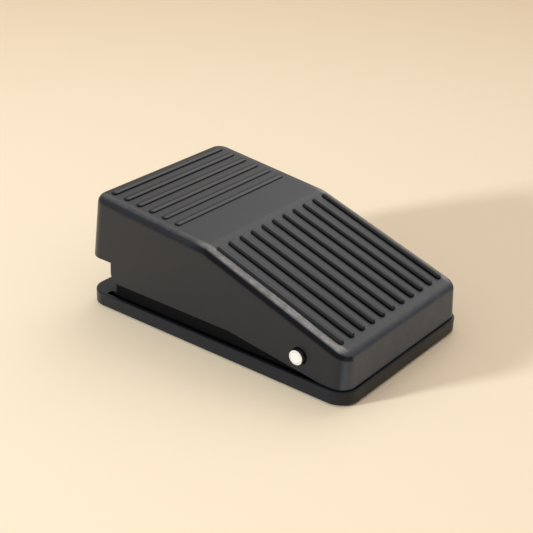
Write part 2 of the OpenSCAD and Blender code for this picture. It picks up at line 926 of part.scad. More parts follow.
module switch_screws() {
    slot_w = 0.8;
    color([0.75, 0.75, 0.77])
        at_switch()
            for (p = fixing_points) {
                bar_x(screw_d / 2, -case_w / 2 - sink, -case_w / 2 + screw_l, p[0], p[1], 32);
                difference() {
                    bar_x(screw_head_d / 2, -case_w / 2 - screw_head_h, -case_w / 2,
                        p[0], p[1], 32);
                    block([-case_w / 2 - screw_head_h - past, p[0] - screw_head_d,
                            p[1] - slot_w / 2],
                        [-case_w / 2 - screw_head_h / 2, p[0] + screw_head_d,
                            p[1] + slot_w / 2]);
                }
            }
}

module switch_nuts() {
    color([0.75, 0.75, 0.77])
        at_switch()
            for (p = fixing_points)
                difference() {
                    bar_x(nut_af / sqrt(3), bracket_x1, bracket_x1 + nut_t, p[0], p[1], 6);
                    bar_x(screw_d / 2 + fit_gap, bracket_x1 - past, bracket_x1 + nut_t + past,
                        p[0], p[1], 32);
                }
}

base();
treadle();
pivot_pin();
return_spring();
foot_heel_left();
foot_heel_right();
foot_toe_left();
foot_toe_right();
switch_case();
switch_cover();
switch_plunger();
switch_lever();
snap_blade();
moving_contact();
common_terminal();
normally_open_terminal();
normally_closed_terminal();
normally_open_contact();
normally_closed_contact();
switch_screws();
switch_nuts();
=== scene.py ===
"""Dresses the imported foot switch: mouldings, pin, spring and the snap switch inside."""

from __future__ import annotations

import json
import logging
import math
from dataclasses import dataclass
from enum import Enum
from typing import Callable, Iterable, Sequence

import bmesh
import bpy
from mathutils import Matrix, Vector

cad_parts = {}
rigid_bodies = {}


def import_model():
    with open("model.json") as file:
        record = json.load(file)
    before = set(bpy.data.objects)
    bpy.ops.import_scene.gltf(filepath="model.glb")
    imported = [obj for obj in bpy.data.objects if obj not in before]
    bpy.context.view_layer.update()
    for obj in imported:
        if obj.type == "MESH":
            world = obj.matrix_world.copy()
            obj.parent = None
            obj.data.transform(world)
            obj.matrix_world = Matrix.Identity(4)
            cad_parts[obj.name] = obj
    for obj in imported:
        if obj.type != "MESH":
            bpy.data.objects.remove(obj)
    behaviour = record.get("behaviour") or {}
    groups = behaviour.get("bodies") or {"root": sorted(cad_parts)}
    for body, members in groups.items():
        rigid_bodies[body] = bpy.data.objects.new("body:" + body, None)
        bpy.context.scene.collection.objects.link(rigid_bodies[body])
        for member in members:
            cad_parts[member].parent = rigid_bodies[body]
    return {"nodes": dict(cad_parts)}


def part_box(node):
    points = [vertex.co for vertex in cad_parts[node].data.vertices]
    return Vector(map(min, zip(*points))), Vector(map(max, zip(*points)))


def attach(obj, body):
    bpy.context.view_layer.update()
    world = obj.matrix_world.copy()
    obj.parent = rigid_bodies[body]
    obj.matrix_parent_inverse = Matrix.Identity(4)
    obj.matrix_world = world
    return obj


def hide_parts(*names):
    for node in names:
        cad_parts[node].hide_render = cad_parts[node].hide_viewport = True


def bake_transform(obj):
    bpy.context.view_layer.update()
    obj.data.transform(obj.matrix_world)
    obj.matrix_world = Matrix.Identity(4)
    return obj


LOG = logging.getLogger("foot_switch")
MM = 0.001

Colour = tuple[float, float, float]
Stretch = tuple[float, float, float]
Span = tuple[float, float]


class Body(Enum):
    """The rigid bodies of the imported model."""

    BASE = "base"
    TREADLE = "treadle"
    LEVER = "lever"
    PLUNGER = "plunger"
    BLADE = "blade"


@dataclass(frozen=True)
class Plane:
    """A plane, by its unit normal and its distance from the origin in millimetres."""

    normal: tuple[float, float, float]
    offset: float


# ------------------------------------------------------------------ shader graphs


class Signal:
    """A shader socket that takes part in arithmetic."""

    def __init__(self, graph: Graph, socket: bpy.types.NodeSocket) -> None:
        """Wraps one output socket of a graph."""
        self.graph = graph
        self.socket = socket

    def _math(self, operation: str, *terms: Signal | float) -> Signal:
        """Adds one Math node.

        Args:
            operation: Name of the Math node's operation.
            terms: Its inputs, in order.

        Returns:
            The node's result.
        """
        return self.graph.node("ShaderNodeMath", {"operation": operation}, dict(enumerate(terms)))

    def __add__(self, other: Signal | float) -> Signal:
        """Sum of two signals."""
        return self._math("ADD", self, other)

    def __sub__(self, other: Signal | float) -> Signal:
        """Difference of two signals."""
        return self._math("SUBTRACT", self, other)

    def __rsub__(self, other: Signal | float) -> Signal:
        """Difference, with the signal last."""
        return self._math("SUBTRACT", other, self)

    def __mul__(self, other: Signal | float) -> Signal:
        """Product of two signals."""
        return self._math("MULTIPLY", self, other)

    def __pow__(self, other: Signal | float) -> Signal:
        """Power of a signal."""
        return self._math("POWER", self, other)

    __radd__ = __add__
    __rmul__ = __mul__

    def above(self, other: Signal | float) -> Signal:
        """The greater of two signals."""
        return self._math("MAXIMUM", self, other)

    def size(self) -> Signal:
        """The signal without its sign."""
        return self._math("ABSOLUTE", self)

    def step(self, low: float, high: float) -> Signal:
        """Smooth step of the signal.

        Args:
            low: Where the step starts.
            high: Where the step ends.

        Returns:
            A signal that goes from 0 at low to 1 at high.
        """
        settings = {"interpolation_type": "SMOOTHSTEP"}
        return self.graph.node("ShaderNodeMapRange", settings, {"Value": self, 1: low, 2: high})


class Graph:
    """The node tree of one material or world."""

    def __init__(self, owner: bpy.types.Material | bpy.types.World) -> None:
        """Empties the owner's node tree.

        Args:
            owner: The material or world.
        """
        owner.use_nodes = True
        self.owner = owner
        self.tree = owner.node_tree
        self.tree.nodes.clear()

    def node(
        self,
        kind: str,
        settings: dict[str, object] | None = None,
        inputs: dict[str | int, object] | None = None,
        output: str | int = 0,
    ) -> Signal:
        """Adds a node.

        Args:
            kind: The node's type.
            settings: Its own properties.
            inputs: Values or signals for its sockets, by name or number.
            output: The socket that is returned.

        Returns:
            The chosen output as a signal.
        """
        made = self.tree.nodes.new(kind)
        for key, value in (settings or {}).items():
            setattr(made, key, value)
        for key, value in (inputs or {}).items():
            if isinstance(value, Signal):
                self.tree.links.new(value.socket, made.inputs[key])
            else:
                made.inputs[key].default_value = value
        return Signal(self, made.outputs[output])

    def coordinates(self, scale: Sequence[float] = (1.0, 1.0, 1.0)) -> Signal:
        """Object coordinates in millimetres.

        Args:
            scale: A further scale along each axis.

        Returns:
            The scaled coordinates.
        """
        place = self.node("ShaderNodeTexCoord", output="Object")
        return self.node(
            "ShaderNodeMapping",
            {"vector_type": "POINT"},
            {"Vector": place, "Scale": tuple(s / MM for s in scale)},
        )

    def noise(self, size: float, detail: float, stretch: Stretch = (1.0, 1.0, 1.0)) -> Signal:
        """Noise with features of one size.

        Args:
            size: Size of a feature, in millimetres.
            detail: Octaves of finer noise.
            stretch: How far a feature is drawn out along each axis.

        Returns:
            The noise, from 0 to 1.
        """
        place = self.coordinates([1.0 / s for s in stretch])
        return self.node(
            "ShaderNodeTexNoise",
            {"noise_dimensions": "3D"},
            {"Vector": place, "Scale": 1.0 / size, "Detail": detail, "Roughness": 0.55},
        )

    def axis(self, number: int) -> Signal:
        """One of the object coordinates, in millimetres."""
        place = self.coordinates()
        return self.node("ShaderNodeSeparateXYZ", None, {"Vector": place}, output=number)

    def along(self, place: Signal, direction: Sequence[float]) -> Signal:
        """Dot product of a vector signal and a fixed direction.

        Args:
            place: The vector signal.
            direction: The direction.

        Returns:
            The product.
        """
        settings = {"operation": "DOT_PRODUCT"}
        inputs = {0: place, 1: tuple(direction)}
        return self.node("ShaderNodeVectorMath", settings, inputs, output="Value")

    def height_over(self, plane: Plane) -> Signal:
        """Height of the surface over a plane, in millimetres."""
        return self.along(self.coordinates(), plane.normal) - plane.offset

    def crease(self, reach: float) -> Signal:
        """How far the surface is closed in.

        Args:
            reach: Distance to which neighbouring surfaces count, in millimetres.

        Returns:
            0 on open surfaces, 1 in closed corners.
        """
        settings = {"samples": 8, "only_local": True}
        inputs = {"Distance": reach * MM}
        return 1.0 - self.node("ShaderNodeAmbientOcclusion", settings, inputs, output="AO")

    def mix(self, factor: Signal, low: Signal | Colour, high: Signal | Colour) -> Signal:
        """Mixes two colours.

        Args:
            factor: Share of the second colour.
            low: The colour at 0.
            high: The colour at 1.

        Returns:
            The mixed colour.
        """
        first, second = ((*c, 1.0) if isinstance(c, tuple) else c for c in (low, high))
        inputs = {"Factor": factor, 6: first, 7: second}
        return self.node("ShaderNodeMix", {"data_type": "RGBA"}, inputs, output=2)

    def bump(self, height: Signal, depth: float) -> Signal:
        """Bumped normal.

        Args:
            height: Height signal, from 0 to 1.
            depth: Height of a full step, in millimetres.

        Returns:
            The normal.
        """
        return self.node("ShaderNodeBump", None, {"Height": height, "Distance": depth * MM})

    def principled(self, **sockets: Signal | float | Colour) -> Signal:
        """Adds a Principled shader.

        Args:
            sockets: Its socket values or signals, with underscores for spaces.

        Returns:
            The shader.
        """
        inputs = {
            name.replace("_", " "): (*value, 1.0) if isinstance(value, tuple) else value
            for name, value in sockets.items()
        }
        return self.node("ShaderNodeBsdfPrincipled", None, inputs)

    def finish(self, **sockets: Signal | float | Colour) -> bpy.types.Material:
        """Closes the graph with a Principled shader.

        Args:
            sockets: Its socket values or signals, with underscores for spaces.

        Returns:
            The material.
        """
        self.close(self.principled(**sockets))
        return self.owner

    def finish_creased(
        self, crease: Signal, **sockets: Signal | float | Colour
    ) -> bpy.types.Material:
        """Closes the graph with a Principled shader that gives way to painted shade, matt black,
        in the creases.

        Args:
            crease: How much painted shade the creases get, from 0 to 1.
            sockets: The shader's socket values or signals, with underscores for spaces.

        Returns:
            The material.
        """
        surface = self.principled(**sockets)
        # Matt black painted shade for the creases
        crease_shade = self.principled(
            Base_Color=(0.002, 0.002, 0.002), Roughness=0.9, Specular_IOR_Level=0.05
        )
        self.close(self.node("ShaderNodeMixShader", None, {0: crease, 1: surface, 2: crease_shade}))
        return self.owner

    def close(self, shader: Signal) -> None:
        """Joins a shader to the output of the material or world.

        Args:
            shader: The shader.
        """
        kind = "World" if isinstance(self.owner, bpy.types.World) else "Material"
        made = self.tree.nodes.new(f"ShaderNodeOutput{kind}")
        self.tree.links.new(shader.socket, made.inputs["Surface"])


# ------------------------------------------------------------------ finishes


@dataclass(frozen=True)
class MouldedPlastic:
    """Fine-grained moulded plastic with a low sheen. Its sizes are in millimetres."""

    name: str
    slot: str
    colour: Colour
    roughness: float = 0.42
    specular: float = 0.5
    # Sizes of the grain, of the mould's ripple, of handled patches and of scuffs
    grain: float = 0.22
    grain_depth: float = 0.006
    ripple: float = 9.0
    ripple_depth: float = 0.01
    handling: float = 14.0
    scuff: float = 1.6
    scuff_stretch: Stretch = (1.0, 7.0, 1.0)

    def material(self) -> bpy.types.Material:
        """Builds the plastic's material.

        Returns:
            The material.
        """
        graph = Graph(bpy.data.materials.new(self.name))
        grain = graph.noise(self.grain, 1.0)
        ripple = graph.noise(self.ripple, 2.0)
        handled = graph.noise(self.handling, 4.0).step(0.35, 0.7)
        scuffs = graph.noise(self.scuff, 3.0, self.scuff_stretch).step(0.62, 0.78)
        lighter = tuple(min(1.0, c * 1.3 + 0.002) for c in self.colour)
        relief = grain * (self.grain_depth / self.ripple_depth) + ripple
        return graph.finish(
            Base_Color=graph.mix(grain.step(0.3, 0.7) * 0.35 + scuffs * 0.2, self.colour, lighter),
            Roughness=handled * 0.07 - scuffs * 0.05 + self.roughness,
            Specular_IOR_Level=self.specular,
            Normal=graph.bump(relief, self.ripple_depth),
        )


@dataclass(frozen=True)
class TreadPlastic:
    """Moulded plastic of the tread: grained ground, smooth ribs, creases with painted shade, worn
    side edges with a painted highlight.

    Heights over the tread's own planes tell its parts from each other. Sizes are in millimetres.
    """

    name: str
    slot: str
    planes: tuple[Plane, Plane]
    wear_and_highlight_x: float
    heel_y: float
    wall: Colour = (0.0066, 0.0082, 0.0122)
    ground: Colour = (0.0105, 0.0115, 0.0145)
    rib: Colour = (0.0055, 0.006, 0.0078)
    # Pale colour of the heel face, which is painted light
    heel_painted_light: Colour = (0.05, 0.064, 0.088)
    # Colour of the worn edges, pale also as a painted highlight
    wear_highlight_colour: Colour = (0.33, 0.32, 0.315)
    roughness: float = 0.32
    specular: float = 0.4
    # Heights over the planes at which the ground and the ribs begin
    ground_rise: Span = (-0.15, -0.02)
    rib_rise: Span = (0.04, 0.14)
    # How much higher over the slope's plane than over the toe's a point on the slope lies
    slope_lead: Span = (-1.5, 0.5)
    # Drops below the planes at which the worn edge, with its painted highlight, starts and ends
    wear_and_highlight_lead: Span = (-0.06, 0.0)
    wear_and_highlight_drop: Span = (0.2, 0.75)
    # Drops at which the painted dark reflection under the worn edge starts and ends
    line_from: Span = (0.5, 0.9)
    line_to: Span = (1.5, 2.3)
    line_dark: float = 0.7
    # Distances from the heel at which the painted light on the heel face ends and the worn,
    # highlit edge starts
    heel_reach: Span = (1.2, 3.2)
    heel_clear: Span = (1.0, 5.0)
    # Painted shade in the creases: how far the occlusion reaches, where it sets in and how dark it
    # gets
    crease_reach: float = 1.2
    crease_span: Span = (0.1, 0.4)
    crease_dark: float = 0.95
    # Sizes of the grain, of broad patches, of the mould's ripple and of drag marks
    grain: float = 0.42
    patch: float = 5.0
    ripple: float = 8.0
    drag: float = 0.5
    drag_stretch: Stretch = (1.0, 12.0, 1.0)
    relief_depth: float = 0.01

    def material(self) -> bpy.types.Material:
        """Builds the tread's material.

        Returns:
            The material.
        """
        graph = Graph(bpy.data.materials.new(self.name))
        slope, toe = (graph.height_over(plane) for plane in self.planes)
        rise = slope.above(toe)
        sunk = rise * -1.0
        on_top = rise.step(*self.ground_rise)
        on_rib = rise.step(*self.rib_rise)
        on_slope = (slope - toe).step(*self.slope_lead)
        side = graph.axis(0).size().step(self.wear_and_highlight_x, self.wear_and_highlight_x + 1.0)
        grain = graph.noise(self.grain, 2.0)
        ripple = graph.noise(self.ripple, 2.0)
        patches = graph.noise(self.patch, 3.0).step(0.3, 0.7)
        # Worn side edges, lightened also as a painted highlight
        wear_and_highlight = side * sunk.step(*self.wear_and_highlight_lead) * (1.0 - sunk.step(*self.wear_and_highlight_drop))
        wear_and_highlight = wear_and_highlight * self._wear_and_highlight(graph, patches, on_slope)
        # A painted dark reflection under the worn edge on the slope
        painted_dark_band = side * on_slope * sunk.step(*self.line_from) * (1.0 - sunk.step(*self.line_to))
        # Painted shade in the creases, from ambient occlusion
        crease = graph.crease(self.crease_reach).step(*self.crease_span) * self.crease_dark
        ground = self._ground(graph, grain, patches, on_slope)
        colour = graph.mix(on_top, self._wall(graph, patches), ground)
        colour = graph.mix(on_rib, colour, self.rib)
        relief = grain * (on_top - on_rib * 0.8) * 1.4 + ripple
        roughness = on_top * 0.06 - on_rib * 0.1 + wear_and_highlight * 0.1 + patches * 0.03 + self.roughness
        return graph.finish_creased(
            crease.above(painted_dark_band * self.line_dark),
            Base_Color=graph.mix(wear_and_highlight, colour, self.wear_highlight_colour),
            Roughness=roughness,
            Specular_IOR_Level=self.specular,
            Normal=graph.bump(relief, self.relief_depth),
        )

    def _wear_and_highlight(self, graph: Graph, patches: Signal, on_slope: Signal) -> Signal:
        """How strongly the tread's side edges are worn and given a painted highlight: along the
        slope, and less by the heel.

        Args:
            graph: The material's graph.
            patches: Broad patches, from 0 to 1.
            on_slope: 1 on the slope, 0 on the toe.

        Returns:
            The wear and painted highlight, from 0 to 1.
        """
        drag = graph.noise(self.drag, 3.0, self.drag_stretch).step(0.35, 0.75)
        off_heel = graph.axis(1).step(*(self.heel_y + reach for reach in self.heel_clear))
        return off_heel * (drag * 0.35 + patches * 0.25 + 0.4) * (on_slope * 0.82 + 0.18)

    def _ground(self, graph: Graph, grain: Signal, patches: Signal, on_slope: Signal) -> Signal:
        """Colour of the ground between the ribs, with pale specks of grain.

        Args:
            graph: The material's graph.
            grain: The fine grain, from 0 to 1.
            patches: Broad patches, from 0 to 1.
            on_slope: 1 on the slope, 0 on the toe.

        Returns:
            The colour.
        """
        specks = grain.step(0.42, 0.66) * (on_slope * 0.55 + 0.25) + patches * 0.15
        return graph.mix(specks, self.ground, tuple(c * 3.4 for c in self.ground))

    def _wall(self, graph: Graph, patches: Signal) -> Signal:
        """Colour of the skirt, with painted light making the heel face paler.

        Args:
            graph: The material's graph.
            patches: Broad patches, from 0 to 1.

        Returns:
            The colour.
        """
        # Painted light on the heel face
        heel = 1.0 - graph.axis(1).step(*(self.heel_y + reach for reach in self.heel_reach))
        wall = graph.mix(patches * 0.5, self.wall, tuple(c * 1.25 for c in self.wall))
        return graph.mix(heel * (patches * 0.3 + 0.7), wall, self.heel_painted_light)


@dataclass(frozen=True)
class TurnedSteel:
    """Bright metal with fine marks from turning, drawing or rolling."""

    name: str
    slot: str
    colour: Colour
    roughness: float = 0.24
    streak: Stretch = (1.0, 1.0, 1.0)
    mark: float = 0.12
    bloom: float = 2.5
    mark_depth: float = 0.001

    def material(self) -> bpy.types.Material:
        """Builds the metal's material.

        Returns:
            The material.
        """
        graph = Graph(bpy.data.materials.new(self.name))
        marks = graph.noise(self.mark, 2.0, self.streak)
        bloom = graph.noise(self.bloom, 3.0).step(0.3, 0.75)
        dulled = tuple(c * 0.86 for c in self.colour)
        return graph.finish(
            Base_Color=graph.mix(bloom * 0.6, self.colour, dulled),
            Metallic=1.0,
            Roughness=marks * 0.1 + bloom * 0.08 + (self.roughness - 0.08),
            Normal=graph.bump(marks, self.mark_depth),
        )


@dataclass(frozen=True)
class PlatedPin:
    """Steel pin with frosted plating and a turned ring on its end faces. Sizes in millimetres."""

    name: str
    slot: str
    centre: tuple[float, float]
    radius: float
    end_x: float
    side: Colour = (0.34, 0.34, 0.35)
    face: Colour = (0.8, 0.79, 0.77)
    ring: Colour = (0.55, 0.53, 0.5)
    # How far in from its end a face starts and is whole
    face_from: float = 0.3
    face_whole: float = 0.12
    # The ring's radius as a share of the pin's, and its half width
    ring_share: float = 0.74
    ring_half: Span = (0.05, 0.2)
    ring_depth: float = 0.05
    frost: float = 0.25

    def material(self) -> bpy.types.Material:
        """Builds the pin's material.

        Returns:
            The material.
        """
        graph = Graph(bpy.data.materials.new(self.name))
        across, along = graph.axis(1) - self.centre[0], graph.axis(2) - self.centre[1]
        away = (across * across + along * along) ** 0.5
        out = graph.axis(0).size()
        on_face = out.step(self.end_x - self.face_from, self.end_x - self.face_whole)
        groove = 1.0 - (away - self.radius * self.ring_share).size().step(*self.ring_half)
        frost = graph.noise(self.frost, 2.0)
        face = graph.mix(groove * 0.6 + frost * 0.2, self.face, self.ring)
        return graph.finish(
            Base_Color=graph.mix(on_face, self.side, face),
            Metallic=1.0 - on_face * 0.65,
            Roughness=on_face * 0.16 + frost * 0.08 + 0.2,
            Normal=graph.bump(groove * -1.0 + frost * 0.05, self.ring_depth),
        )


@dataclass(frozen=True)
class MouldedRubber:
    """Matt rubber with a powdery bloom."""

    name: str
    slot: str
    colour: Colour
    bloom: float = 1.8
    pore: float = 0.3
    pore_depth: float = 0.015

    def material(self) -> bpy.types.Material:
        """Builds the rubber's material.

        Returns:
            The material.
        """
        graph = Graph(bpy.data.materials.new(self.name))
        bloom = graph.noise(self.bloom, 4.0).step(0.4, 0.75)
        pores = graph.noise(self.pore, 1.0)
        dusty = tuple(c + 0.03 for c in self.colour)
        return graph.finish(
            Base_Color=graph.mix(bloom * 0.5, self.colour, dusty),
            Roughness=bloom * 0.1 + 0.74,
            Specular_IOR_Level=0.35,
            Normal=graph.bump(pores, self.pore_depth),
        )


Finish = MouldedPlastic | TreadPlastic | TurnedSteel | PlatedPin | MouldedRubber

ROLLED: Stretch = (1.0, 20.0, 1.0)
STAMPED: Stretch = (1.0, 1.0, 20.0)

BASE_PLASTIC = MouldedPlastic(
    "base_plastic_grained", "base_plastic", (0.0068, 0.0082, 0.0118), 0.36, 0.3
)
# Matt black painted shade for the base's recess
RECESS_SHADE = MouldedPlastic(
    "base_recess_painted_shade", "base_plastic", (0.004, 0.004, 0.004), 0.8, 0.1
)
CASE_PLASTIC = MouldedPlastic(
    "case_thermoset", "case_plastic", (0.02, 0.02, 0.022), 0.38, grain_depth=0.002
)
COVER_PLASTIC = MouldedPlastic(
    "cover_thermoset", "cover_plastic", (0.035, 0.035, 0.038), 0.4, grain_depth=0.002
)
PLUNGER_PLASTIC = MouldedPlastic(
    "plunger_plastic", "plunger_plastic", (0.55, 0.05, 0.03), 0.25,
    grain_depth=0.001, ripple_depth=0.004,
)
SPRING_STEEL = TurnedSteel("spring_steel_drawn", "spring_steel", (0.5, 0.5, 0.5), 0.3)
LEVER_STEEL = TurnedSteel("lever_steel_rolled", "lever_steel", (0.7, 0.7, 0.7), 0.28, ROLLED)
BLADE_BRONZE = TurnedSteel(
    "blade_bronze_rolled", "blade_bronze", (0.72, 0.42, 0.22), 0.3, ROLLED
)
CONTACT_SILVER = TurnedSteel("contact_silver", "contact_silver", (0.88, 0.87, 0.84), 0.25)
TERMINAL_BRASS = TurnedSteel(
    "terminal_brass_stamped", "terminal_brass", (0.78, 0.58, 0.3), 0.3, STAMPED
)
FASTENER_STEEL = TurnedSteel("fastener_zinc", "fastener_steel", (0.66, 0.67, 0.68), 0.32)
FOOT_RUBBER = MouldedRubber("foot_rubber_matt", "foot_rubber", (0.012, 0.012, 0.012))


class Paintbox:
    """Keeps one material for each finish."""

    def __init__(self) -> None:
        """Starts empty."""
        self.made: dict[str, bpy.types.Material] = {}

    def get(self, finish: Finish) -> bpy.types.Material:
        """Gives a finish's material, which is built at its first use.

        Args:
            finish: The finish.

        Returns:
            The material.
        """
        if finish.name not in self.made:
            self.made[finish.name] = finish.material()
        return self.made[finish.name]


PAINTS = Paintbox()


# ------------------------------------------------------------------ pieces


class Piece:
    """A mesh in the making, in millimetres, that ends as one dressed object."""

    # Points nearer than MERGE are one, faces within FLAT_DEGREES share a plane, and edges
    # over SHARP_DEGREES stay sharp in the shading
    MERGE = 0.0005
    FLAT_DEGREES = 0.4
    SHARP_DEGREES = 40.0
    FLAT_WEIGHT = 90

    def __init__(self, name: str) -> None:
        """Starts an empty piece."""
        self.name = name
        self.mesh = bmesh.new()

    @classmethod
    def from_node(cls, node: str, name: str) -> Piece:
        """Copies a CAD node, merges its loose triangles and joins those that share a plane.

        Args:
            node: The node's name.
            name: The new piece's name.

        Returns:
            The piece.
        """
        piece = cls(name)
        made = piece.mesh
        made.from_mesh(FRAME["nodes"][node].data)
        bmesh.ops.scale(made, vec=Vector((1 / MM,) * 3), verts=made.verts)
        bmesh.ops.remove_doubles(made, verts=made.verts, dist=cls.MERGE)
        bmesh.ops.dissolve_degenerate(made, dist=cls.MERGE, edges=made.edges)
        flat = math.radians(cls.FLAT_DEGREES)
        bmesh.ops.dissolve_limit(made, angle_limit=flat, verts=made.verts, edges=made.edges)
        return piece

    def round_edges(
        self,
        radius: float,
        segments: int,
        angle: float = 35.0,
        where: Callable[[bmesh.types.BMEdge], bool] = lambda edge: True,
    ) -> None:
        """Rounds the edges that are sharper than an angle.

        Args:
            radius: Width of the rounding, in millimetres.
            segments: Steps across it.
            angle: The least angle between an edge's faces, in degrees.
            where: Says which of those edges are rounded.
        """
        least = math.radians(angle)
        sharp = [
            edge for edge in self.mesh.edges
            if edge.is_manifold and edge.calc_face_angle(0.0) > least and where(edge)
        ]
        bmesh.ops.bevel(
            self.mesh, geom=sharp, offset=radius, offset_type="OFFSET", segments=segments,
            profile=0.5, affect="EDGES", clamp_overlap=True, material=-1,
        )

    def put_in_order(self) -> None:
        """Sorts edges and faces by their points, because spin leaves them in any order."""
        self.mesh.verts.index_update()
        count = len(self.mesh.verts)

        def place(element: bmesh.types.BMEdge | bmesh.types.BMFace) -> int:
            """Gives an edge or face its place, from its first three points.

            Args:
                element: The edge or face.

            Returns:
                A number that no other one has.
            """
            first = sorted(v.index for v in element.verts)[:3]
            return sum(index * count ** (2 - rank) for rank, index in enumerate(first))

        self.mesh.edges.sort(key=place)
        self.mesh.faces.sort(key=place)

    def done(self, body: Body | None, finish: Finish, node: str) -> bpy.types.Object:
        """Makes the object, dresses it and puts it on its body.

        Args:
            body: The body that it moves with, or None for a piece put on no body.
            finish: Its finish.
            node: The CAD node that it stands for.

        Returns:
            The object.
        """
        for face in self.mesh.faces:
            face.smooth = True
        bmesh.ops.scale(self.mesh, vec=Vector((MM,) * 3), verts=self.mesh.verts)
        data = bpy.data.meshes.new(self.name)
        self.mesh.to_mesh(data)
        self.mesh.free()
        data.set_sharp_from_angle(angle=math.radians(self.SHARP_DEGREES))
        thing = bpy.data.objects.new(self.name, data)
        bpy.context.scene.collection.objects.link(thing)
        data.materials.append(PAINTS.get(finish))
        weigh = thing.modifiers.new("even_flats", "WEIGHTED_NORMAL")
        weigh.keep_sharp = True
        weigh.weight = self.FLAT_WEIGHT
        if body:
            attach(thing, body.value)
        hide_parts(node)
        place = body.value if body else "two bodies"
        LOG.info("%s: %d faces on %s", self.name, len(data.polygons), place)
        return thing


def node_box(node: str) -> tuple[Vector, Vector]:
    """Lowest and highest corner of a CAD node, in millimetres."""
    low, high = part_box(node)
    return low / MM, high / MM


# ------------------------------------------------------------------ sub-assemblies


@dataclass
class Base:
    """The moulded base and its four rubber feet. Sizes are in millimetres."""

    edge: float = 0.35
    # Edges this near the base's sides and ends, and below this height, are its outer edges
    edge_reach: float = 2.2
    edge_top: float = 6.0
    # The rim is found this near the sides, and the walls stand this far over it
    rim_search: float = 0.5
    wall_over_rim: float = 0.5
    # The recess, which gets painted shade, starts inside the rim and over the floor
    rim_t: float = 1.3
    floor_top: float = 3.2
    margin: float = 0.05
    foot_edge: float = 0.3
    feet: tuple[str, ...] = (
        "foot_heel_left", "foot_heel_right", "foot_toe_left", "foot_toe_right",
    )

    def build(self) -> None:
        """Makes the base and its feet."""
        self._tray()
        for node in self.feet:
            foot = Piece.from_node(node, node + "_pad")
            foot.round_edges(self.foot_edge, 3)
            foot.done(Body.BASE, FOOT_RUBBER, node)

    def _tray(self) -> None:
        """Makes the base, with its outer edges rounded and painted shade, matt black, in its
        recess.
        """
        tray = Piece.from_node("base", "base_moulding")
        low, high = node_box("base")

        def outside(edge: bmesh.types.BMEdge) -> bool:
            """Says whether an edge lies on the base's outer rim.

            Args:
                edge: The edge.

            Returns:
                True if it does.
            """
            side_gap = high.x - max(abs(v.co.x) for v in edge.verts)
            end_gap = high.y - max(abs(v.co.y) for v in edge.verts)
            if min(side_gap, end_gap) >= self.edge_reach:
                return False
            return all(v.co.z < low.z + self.edge_top for v in edge.verts)

        tray.round_edges(self.edge, 3, where=outside)
        points = [v.co.copy() for v in tray.mesh.verts]
        rim_z = max(p.z for p in points if high.x - abs(p.x) < self.rim_search)
        wall_y = max(p.y for p in points if p.z > rim_z + self.wall_over_rim)
        made = tray.done(Body.BASE, BASE_PLASTIC, "base")
        self._paint_recess_shade(made, high.x - self.rim_t, wall_y - self.margin, rim_z)

    def _paint_recess_shade(
        self, made: bpy.types.Object, half_w: float, wall_y: float, rim_z: float
    ) -> None:
        """Gives the faces down in the recess their matt black painted shade.

        Args:
            made: The base's object.
            half_w: Half the width inside the rim, in millimetres.
            wall_y: How far the upright walls reach towards the toe.
            rim_z: Height of the rim.
        """
        made.data.materials.append(PAINTS.get(RECESS_SHADE))
        for face in made.data.polygons:
            x, y, z = (abs(c) / MM for c in face.center)
            inside = x < half_w and y < wall_y
            if inside and z > self.floor_top and abs(z - rim_z) > self.margin:
                face.material_index = 1


@dataclass
class Treadle:
    """The ribbed treadle. Sizes are in millimetres."""

    edge: float = 0.25
    edge_degrees: float = 60.0
    # The skirt's edges lie this far under the slope's plane and this near the outside
    skirt_drop: float = 3.0
    skirt_reach: float = 1.7
    # The tread's worn edges, which carry a painted highlight, reach this far in from its sides
    wear_and_highlight_width: float = 4.6
    # A face of the tread is over least_z, and its normal's rise lies in upward
    least_z: float = 14.0
    upward: Span = (0.9, 0.999)
    steep_below: float = 0.97

    def build(self) -> None:
        """Makes the treadle."""
        shell = Piece.from_node("treadle", "treadle_moulding")
        low, high = node_box("treadle")
        planes = self._tread_planes(shell.mesh)
        slope = Vector(planes[0].normal)
        skirt_top = planes[0].offset - self.skirt_drop

        def skirt(edge: bmesh.types.BMEdge) -> bool:
            """Says whether an edge runs round the outside of the skirt.

            Args:
                edge: The edge.

            Returns:
                True if it does.
            """
            if not edge.is_convex or any(v.co.dot(slope) > skirt_top for v in edge.verts):
                return False
            reach = min(
                min(high.x - abs(v.co.x), v.co.y - low.y, high.y - v.co.y) for v in edge.verts
            )
            return reach < self.skirt_reach

        shell.round_edges(self.edge, 3, self.edge_degrees, skirt)
        finish = TreadPlastic(
            "treadle_plastic_ribbed", "treadle_plastic", planes, high.x - self.wear_and_highlight_width, low.y
        )
        shell.done(Body.TREADLE, finish, "treadle")

    def _tread_planes(self, mesh: bmesh.types.BMesh) -> tuple[Plane, Plane]:
        """Finds the planes of the slope and of the toe.

        Args:
            mesh: The treadle's mesh.

        Returns:
            The plane of the largest steep face and that of the largest gentle one.
        """
        low, high = self.upward
        upper = [
            face for face in mesh.faces
            if low < face.normal.z < high and face.calc_center_median().z > self.least_z
        ]
        planes = []
        for steep in (True, False):
            alike = (f for f in upper if (f.normal.z < self.steep_below) is steep)
            face = max(alike, key=lambda f: f.calc_area())
            planes.append(Plane(tuple(face.normal), face.normal.dot(face.verts[0].co)))
        return planes[0], planes[1]


@dataclass
class HingePin:
    """The pin that the treadle turns on."""

    edge: float = 0.15

    def build(self) -> None:
        """Makes the pin."""
        pin = Piece.from_node("pivot_pin", "pivot_pin_steel")
        pin.round_edges(self.edge, 3)
        low, high = node_box("pivot_pin")
        middle = (low + high) / 2
        centre = (middle.y, middle.z)
        finish = PlatedPin("pin_steel_plated", "pin_steel", centre, middle.z - low.z, high.x)
        pin.done(Body.BASE, finish, "pivot_pin")


